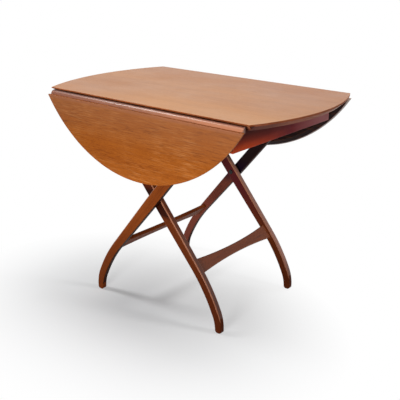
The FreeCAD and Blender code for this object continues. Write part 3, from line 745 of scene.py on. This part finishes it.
class GeometryTree(Graph):
    # the same for a geometry node tree with named inputs
    prefix = ""

    def __init__(self, name, inputs):
        self.tree = bpy.data.node_groups.new(name, "GeometryNodeTree")
        for label, kind in inputs:
            self.tree.interface.new_socket(label, in_out="INPUT", socket_type="NodeSocket" + kind)
        self.tree.interface.new_socket("Geometry", in_out="OUTPUT", socket_type="NodeSocketGeometry")
        self.inputs = self.tree.nodes.new("NodeGroupInput").outputs

    def maths(self, operation, first, second=0.0):
        return self.add("ShaderNodeMath", {0: first, 1: second}, operation=operation).outputs[0]

    def finish(self, geometry):
        real = self.add("GeometryNodeRealizeInstances", {"Geometry": geometry}).outputs[0]
        dressed = self.add("GeometryNodeSetMaterial", {"Geometry": real,
                                                       "Material": self.inputs["Material"]})
        output = self.tree.nodes.new("NodeGroupOutput")
        self.tree.links.new(dressed.outputs[0], output.inputs[0])
        return self.tree


def grow(name, tree, values, base=None):
    # runs the tree on base and keeps the result as a plain mesh
    holder = base or newObject(name, bpy.data.meshes.new(name), values["Material"])
    growing = holder.modifiers.new("Grow", "NODES")
    growing.node_group = tree
    for item in tree.interface.items_tree:
        if item.in_out == "INPUT" and item.name in values:
            growing[item.identifier] = values[item.name]
    depsgraph = bpy.context.evaluated_depsgraph_get()
    mesh = bpy.data.meshes.new_from_object(holder.evaluated_get(depsgraph), depsgraph=depsgraph)
    bpy.data.objects.remove(holder, do_unlink=True)
    return newObject(name, mesh, values["Material"])


stretcher = {"end": 52 * mm, "waist": 31 * mm, "thick": 14 * mm, "soft": 3 * mm, "softSteps": 5,
             "outerAt": 254 * mm, "innerAt": 251 * mm, "steps": 48}


def stretcherTree():
    # a board along Y whose width follows waist + (end - waist) * (y / half)^2
    t = GeometryTree("waistedBoard", (
        ("Half Length", "Float"), ("End Width", "Float"), ("Waist Width", "Float"), ("Thickness", "Float"),
        ("Edge Radius", "Float"), ("Steps", "Int"), ("Material", "Material")))
    half = t.inputs["Half Length"]
    start = t.add("ShaderNodeCombineXYZ", {"Y": t.maths("MULTIPLY", half, -1.0)}).outputs[0]
    end = t.add("ShaderNodeCombineXYZ", {"Y": half}).outputs[0]
    line = t.add("GeometryNodeCurvePrimitiveLine", {"Start": start, "End": end}).outputs[0]
    path = t.add("GeometryNodeResampleCurve", {"Curve": line, "Count": t.inputs["Steps"]}).outputs[0]
    section = t.add("GeometryNodeCurvePrimitiveQuadrilateral",
                    {"Width": t.inputs["End Width"], "Height": t.inputs["Thickness"]}).outputs[0]
    soft = t.add("GeometryNodeFilletCurve", {"Curve": section, "Radius": t.inputs["Edge Radius"],
                                             "Count": stretcher["softSteps"]}, mode="POLY").outputs[0]
    body = t.add("GeometryNodeCurveToMesh", {"Curve": path, "Profile Curve": soft,
                                             "Fill Caps": True}).outputs[0]
    position = t.add("GeometryNodeInputPosition").outputs[0]
    place = t.add("ShaderNodeSeparateXYZ", {"Vector": position}).outputs
    share = t.maths("POWER", t.maths("ABSOLUTE", t.maths("DIVIDE", place["Y"], half)), 2.0)
    loss = t.maths("SUBTRACT", 1.0, share)
    narrow = t.maths("SUBTRACT", t.inputs["End Width"], t.inputs["Waist Width"])
    inwards = t.maths("MULTIPLY", t.maths("SIGN", place["X"]), -0.5)
    shift = t.maths("MULTIPLY", t.maths("MULTIPLY", narrow, loss), inwards)
    offset = t.add("ShaderNodeCombineXYZ", {"X": shift}).outputs[0]
    waisted = t.add("GeometryNodeSetPosition", {"Geometry": body, "Offset": offset}).outputs[0]
    return t.finish(waisted)


def makeStretcher(name, side, at, half, material, body, node):
    piece = grow(name, boardTree, {"Half Length": half, "End Width": stretcher["end"],
                                   "Waist Width": stretcher["waist"], "Thickness": stretcher["thick"],
                                   "Edge Radius": stretcher["soft"], "Steps": stretcher["steps"],
                                   "Material": material})
    up = Vector((side * math.sin(lean), 0, math.cos(lean)))
    out = Vector((side * math.cos(lean), 0, -math.sin(lean)))
    turned = Matrix((up, Vector((0, 1, 0)), out)).transposed().to_4x4()
    piece.data.transform(Matrix.Translation(scissor - up * at) @ turned)
    tidyNormals(piece.data)
    finishPiece(smooth(piece), body, "teak_frame", node)


boardTree = stretcherTree()
makeStretcher("outerStretcher", 1, stretcher["outerAt"], outerLegBox[0].y, crossTeak, "outer_frame",
              "outer_stretcher")
makeStretcher("innerStretcher", -1, stretcher["innerAt"], innerLegBox[0].y, waxedCrossTeak, "inner_frame",
              "inner_stretcher")
print("leg frames done")


plank = {"endRailSoft": 1.5 * mm, "sideRailSoft": 1.0 * mm, "stopSoft": 2.0 * mm, "steps": 3}


def boxSlab(name, node, soft, material, slotName="teak_frame"):
    # a plank with eased edges in place of a plain CAD box, lofted upwards
    low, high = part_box(node)
    corners = [Vector(p) for p in ((low.x, low.y), (high.x, low.y), (high.x, high.y), (low.x, high.y))]
    piece = slab(name, corners, low.z, high.z, soft, lambda x, y, z: Vector((x, y, z)), material,
                 plank["steps"])
    finishPiece(smooth(piece), "top", slotName, node)


boxSlab("rightEndRail", "right_end_rail", plank["endRailSoft"], endRailTeak)
boxSlab("leftEndRail", "left_end_rail", plank["endRailSoft"], endRailTeak)
boxSlab("nearSideRail", "near_side_rail", plank["sideRailSoft"], railTeak)
boxSlab("farSideRail", "far_side_rail", plank["sideRailSoft"], railTeak)
boxSlab("crossbarStop", "crossbar_stop", plank["stopSoft"], rawCrossWood, "hidden_wood")
print("rails done")


def islands(node):
    # the loose solids of a CAD node, as (low, high) corners
    work = bmesh.new()
    work.from_mesh(frame["nodes"][node].data)
    bmesh.ops.remove_doubles(work, verts=work.verts, dist=weld)
    seen, boxes = set(), []
    for first in work.verts:
        if first in seen:
            continue
        seen.add(first)
        stack, group = [first], []
        while stack:
            vert = stack.pop()
            group.append(vert.co.copy())
            for edge in vert.link_edges:
                other = edge.other_vert(vert)
                if other not in seen:
                    seen.add(other)
                    stack.append(other)
        boxes.append([Vector(pick(p[i] for p in group) for i in range(3)) for pick in (min, max)])
    work.free()
    return boxes


easing = {"flatWithin": math.radians(0.5), "sharpFrom": math.radians(50), "segments": 2}


def softCopy(node, name, material, bevel):
    # a merged copy of a CAD node with its sharp edges eased
    mesh = frame["nodes"][node].data.copy()
    work = bmesh.new()
    work.from_mesh(mesh)
    bmesh.ops.remove_doubles(work, verts=work.verts, dist=weld)
    bmesh.ops.dissolve_limit(work, angle_limit=easing["flatWithin"], verts=work.verts, edges=work.edges)
    work.to_mesh(mesh)
    work.free()
    piece = newObject(name, mesh, material)
    edges = piece.modifiers.new("Easing", "BEVEL")
    edges.limit_method = "ANGLE"
    edges.angle_limit = easing["sharpFrom"]
    edges.width = bevel
    edges.segments = easing["segments"]
    finishPiece(smooth(piece), bodyOf[node], slotOf[node], node)


hardware = (
    # node, piece, material, width of the eased edge in mm
    ("panel_hinge_flaps", "panelHingeFlaps", brass, 0.3),
    ("near_leaf_hinge_flaps", "nearLeafHingeFlaps", brass, 0.3),
    ("far_leaf_hinge_flaps", "farLeafHingeFlaps", brass, 0.3),
    ("rail_brackets", "railBrackets", steel, 0.3),
    ("near_leaf_brackets", "nearLeafBrackets", steel, 0.3),
    ("far_leaf_brackets", "farLeafBrackets", steel, 0.3),
    ("near_stay_long_arms", "nearLongArms", steel, 0.4),
    ("far_stay_long_arms", "farLongArms", steel, 0.4),
    ("near_stay_short_arms", "nearShortArms", steel, 0.4),
    ("far_stay_short_arms", "farShortArms", steel, 0.4),
    ("scissor_bolts", "scissorBolts", blackSteel, 0.6),
    ("top_pivot_bolts", "topPivotBolts", blackSteel, 0.6),
    ("scissor_spacers", "scissorSpacers", blackNylon, 0.4),
    ("top_pivot_washers", "topPivotWashers", blackNylon, 0.3),
    ("corner_blocks", "cornerBlocks", rawWood, 1.0),
    ("crossbar_runners", "crossbarRunners", rawWood, 1.0),
    ("top_crossbar", "topCrossbar", crossTeak, 0.8),
    ("hinge_pins", "hingePins", brass, 0.2),
)
for node, name, material, bevel in hardware:
    softCopy(node, name, material, bevel * mm)
for node, material in (("outer_dowels", rawCrossWood), ("inner_dowels", rawCrossWood),
                       ("top_pivot_inserts", brass), ("scissor_inserts", brass)):
    for place in frame["nodes"][node].material_slots:
        place.material = material


screw = {
    "headDeep": 0.5, "shank": 0.48, "slotWide": 0.24, "slotDeep": 0.2,    # shares of the head's radius
    "slotLong": 3.0, "headSides": 24, "shankSides": 12, "weld": 1e-7, "seed": 7,
}


def screwTree():
    # slotted countersunk screws on points, each pointing along its facing and turned at random
    t = GeometryTree("slottedScrews", (
        ("Points", "Geometry"), ("Head Radius", "Float"), ("Head Depth", "Float"),
        ("Shank Radius", "Float"), ("Length", "Float"), ("Slot Width", "Float"),
        ("Slot Depth", "Float"), ("Seed", "Int"), ("Material", "Material")))
    wide, thin, long = t.inputs["Head Radius"], t.inputs["Shank Radius"], t.inputs["Length"]
    depth, slot = t.inputs["Head Depth"], t.inputs["Slot Depth"]
    head = t.add("GeometryNodeMeshCone", {"Vertices": screw["headSides"], "Radius Top": wide,
                                          "Radius Bottom": thin, "Depth": depth}).outputs[0]
    drop = t.add("ShaderNodeCombineXYZ", {"Z": t.maths("MULTIPLY", depth, -1.0)}).outputs[0]
    head = t.add("GeometryNodeTransform", {"Geometry": head, "Translation": drop}).outputs[0]
    size = t.add("ShaderNodeCombineXYZ", {"X": t.maths("MULTIPLY", wide, screw["slotLong"]),
                                          "Y": t.inputs["Slot Width"],
                                          "Z": t.maths("MULTIPLY", slot, 2.0)}).outputs[0]
    cutter = t.add("GeometryNodeMeshCube", {"Size": size}).outputs[0]
    slotted = t.add("GeometryNodeMeshBoolean", {"Mesh 1": head, "Mesh 2": cutter}, operation="DIFFERENCE",
                    solver="EXACT").outputs[0]
    shank = t.add("GeometryNodeMeshCylinder", {"Vertices": screw["shankSides"], "Radius": thin,
                                               "Depth": t.maths("SUBTRACT", long, depth)}).outputs[0]
    middle = t.maths("MULTIPLY", t.maths("ADD", long, depth), -0.5)
    sink = t.add("ShaderNodeCombineXYZ", {"Z": middle}).outputs[0]
    shank = t.add("GeometryNodeTransform", {"Geometry": shank, "Translation": sink}).outputs[0]
    whole = t.add("GeometryNodeJoinGeometry")
    t.tree.links.new(slotted, whole.inputs[0])
    t.tree.links.new(shank, whole.inputs[0])
    facing = t.add("GeometryNodeInputNamedAttribute", {"Name": "facing"},
                   data_type="FLOAT_VECTOR").outputs[0]
    stand = t.add("FunctionNodeAlignRotationToVector", {"Vector": facing}, axis="Z").outputs[0]
    chance = t.add("FunctionNodeRandomValue", {"Seed": t.inputs["Seed"]}, data_type="FLOAT")
    turn = t.maths("MULTIPLY", chance.outputs[1], math.pi)
    spin = t.add("FunctionNodeAxisAngleToRotation", {"Axis": (0, 0, 1), "Angle": turn}).outputs[0]
    spun = t.add("FunctionNodeRotateRotation", {"Rotation": stand, "Rotate By": spin},
                 rotation_space="LOCAL").outputs[0]
    placed = t.add("GeometryNodeInstanceOnPoints", {"Points": t.inputs["Points"], "Rotation": spun,
                                                    "Instance": whole.outputs[0]}).outputs[0]
    return t.finish(placed)


def makeScrews(name, material, node, axis, away):
    # heads face away from the middle along the axis, or towards it where away is -1
    places, facings = [], []
    for low, high in islands(node):
        middle = (low + high) / 2
        head = (high - low)[0] / 2
        long = (high - low)[axis]
        side = away if middle[axis] > 0 else -away
        middle[axis] = high[axis] if side > 0 else low[axis]
        places.append(middle)
        facings.append(Vector(side if i == axis else 0 for i in range(3)))
    mesh = bpy.data.meshes.new(name)
    mesh.from_pydata(places, [], [])
    marks = mesh.attributes.new("facing", "FLOAT_VECTOR", "POINT")
    for mark, facing in zip(marks.data, facings):
        mark.vector = facing
    base = newObject(name + "Places", mesh, material)
    piece = grow(name, slottedScrews, {"Head Radius": head, "Head Depth": head * screw["headDeep"],
                                       "Shank Radius": head * screw["shank"], "Length": long,
                                       "Slot Width": head * screw["slotWide"],
                                       "Slot Depth": head * screw["slotDeep"],
                                       "Seed": screw["seed"], "Material": material}, base)
    tidyNormals(piece.data, screw["weld"])
    print("%s: %d, head %.1f mm, %.1f mm long" % (name, len(places), 2 * head / mm, long / mm))
    finishPiece(smooth(piece), bodyOf[node], slotOf[node], node)


slottedScrews = screwTree()
upDown, inOut = 2, 1
makeScrews("panelHingeScrews", brass, "panel_hinge_screws", upDown, -1)
makeScrews("nearLeafHingeScrews", brass, "near_leaf_hinge_screws", inOut, -1)
makeScrews("farLeafHingeScrews", brass, "far_leaf_hinge_screws", inOut, -1)
makeScrews("railBracketScrews", steel, "rail_bracket_screws", inOut, 1)
makeScrews("nearLeafBracketScrews", steel, "near_leaf_bracket_screws", inOut, -1)
makeScrews("farLeafBracketScrews", steel, "far_leaf_bracket_screws", inOut, -1)
print("hardware done")


white = (1, 1, 1)
studio = {
    "floorTone": (0.850, 0.861, 0.875), "bounceTone": (0.26, 0.26, 0.26), "floorGlow": 0.07,
    "floorRadius": 30, "floorSides": 64, "worldStrength": 0.09, "shadeShift": (0.06, 0.325, 0.0),
    "shadeScale": (1.0, 1.3, 1.0), "clearFrom": 0.06, "clearBy": 0.76,
    "sensor": 36, "lens": 60.67, "camera": (1416.15 * mm, -1677.24 * mm, 1152.8 * mm),
    "aim": (-30.3 * mm, 48.3 * mm, 314.0 * mm),
}
lamps = (
    # name, place, aim, size, power
    ("overhead", (0.2, 0.85, 3.2), (0, 0, 0.4), 2.0, 50),
    ("front", (0.7, -2.3, 0.45), (0, 0, 0.5), 0.8, 42),
    ("right", (2.6, 0.8, 1.7), (0, 0, 0.4), 0.7, 22),
    ("left", (-2.05, -0.95, 2.95), (0, -0.2, 0.6), 0.8, 38),
)


def aimed(name, data, place, aim):
    holder = bpy.data.objects.new(name, data)
    bpy.context.scene.collection.objects.link(holder)
    holder.location = place
    holder.rotation_euler = (Vector(aim) - Vector(place)).to_track_quat("-Z", "Y").to_euler()
    return holder


def directRays(g):
    seen = g.add("LightPath").outputs
    direct = g.maths("MAXIMUM", seen["Is Camera Ray"], seen["Is Glossy Ray"])
    return g.maths("MAXIMUM", direct, seen["Is Transmission Ray"])


def makeFloor():
    # pale near the table, plain white further out
    mesh = bpy.data.meshes.new("floor")
    work = bmesh.new()
    bmesh.ops.create_circle(work, cap_ends=True, segments=studio["floorSides"],
                            radius=studio["floorRadius"])
    work.to_mesh(mesh)
    work.free()
    material = bpy.data.materials.new("floor")
    g = Graph(material)
    direct = directRays(g)
    centred = g.stretch(g.place(), studio["shadeScale"], studio["shadeShift"])
    away = g.add("VectorMath", {0: centred}, operation="LENGTH").outputs["Value"]
    clear = g.maths("MULTIPLY", g.spread(away, studio["clearFrom"], studio["clearBy"]), direct)
    tone = g.mix(direct, studio["bounceTone"], studio["floorTone"])
    surface = g.add("BsdfDiffuse", {"Color": tone})
    glowing = g.maths("MULTIPLY", direct, studio["floorGlow"])
    glow = g.add("Emission", {"Color": white, "Strength": glowing})
    lit = g.add("AddShader", {0: surface.outputs[0], 1: glow.outputs[0]}).outputs[0]
    plain = g.add("Emission", {"Color": white, "Strength": 1.0}).outputs[0]
    both = g.add("MixShader", {0: clear, 1: lit, 2: plain}).outputs[0]
    beneath = g.add("NewGeometry").outputs["Backfacing"]    # seen through from below
    both = g.add("MixShader", {0: beneath, 1: both, 2: g.add("BsdfTransparent").outputs[0]}).outputs[0]
    output = g.add("OutputMaterial")
    g.tree.links.new(both, output.inputs["Surface"])
    newObject("floor", mesh, material)


def makeWorld():
    world = bpy.data.worlds.new("studio")
    bpy.context.scene.world = world
    g = Graph(world)
    strength = g.spread(directRays(g), 0, 1, studio["worldStrength"], 1.0)
    sky = g.add("Background", {"Color": white, "Strength": strength})
    output = g.add("OutputWorld")
    g.tree.links.new(sky.outputs[0], output.inputs["Surface"])


def makeLamp(name, place, aim, size, power):
    light = bpy.data.lights.new(name, "AREA")
    light.shape = "DISK"
    light.size = size
    light.energy = power
    aimed(name, light, place, aim)


def makeCamera():
    data = bpy.data.cameras.new("camera")
    data.sensor_width = studio["sensor"]
    data.lens = studio["lens"]
    bpy.context.scene.camera = aimed("camera", data, studio["camera"], studio["aim"])


makeFloor()
makeWorld()
for name, place, aim, size, power in lamps:
    makeLamp(name, place, aim, size, power)
makeCamera()
bpy.context.scene.view_settings.view_transform = "Standard"
print("stage done")
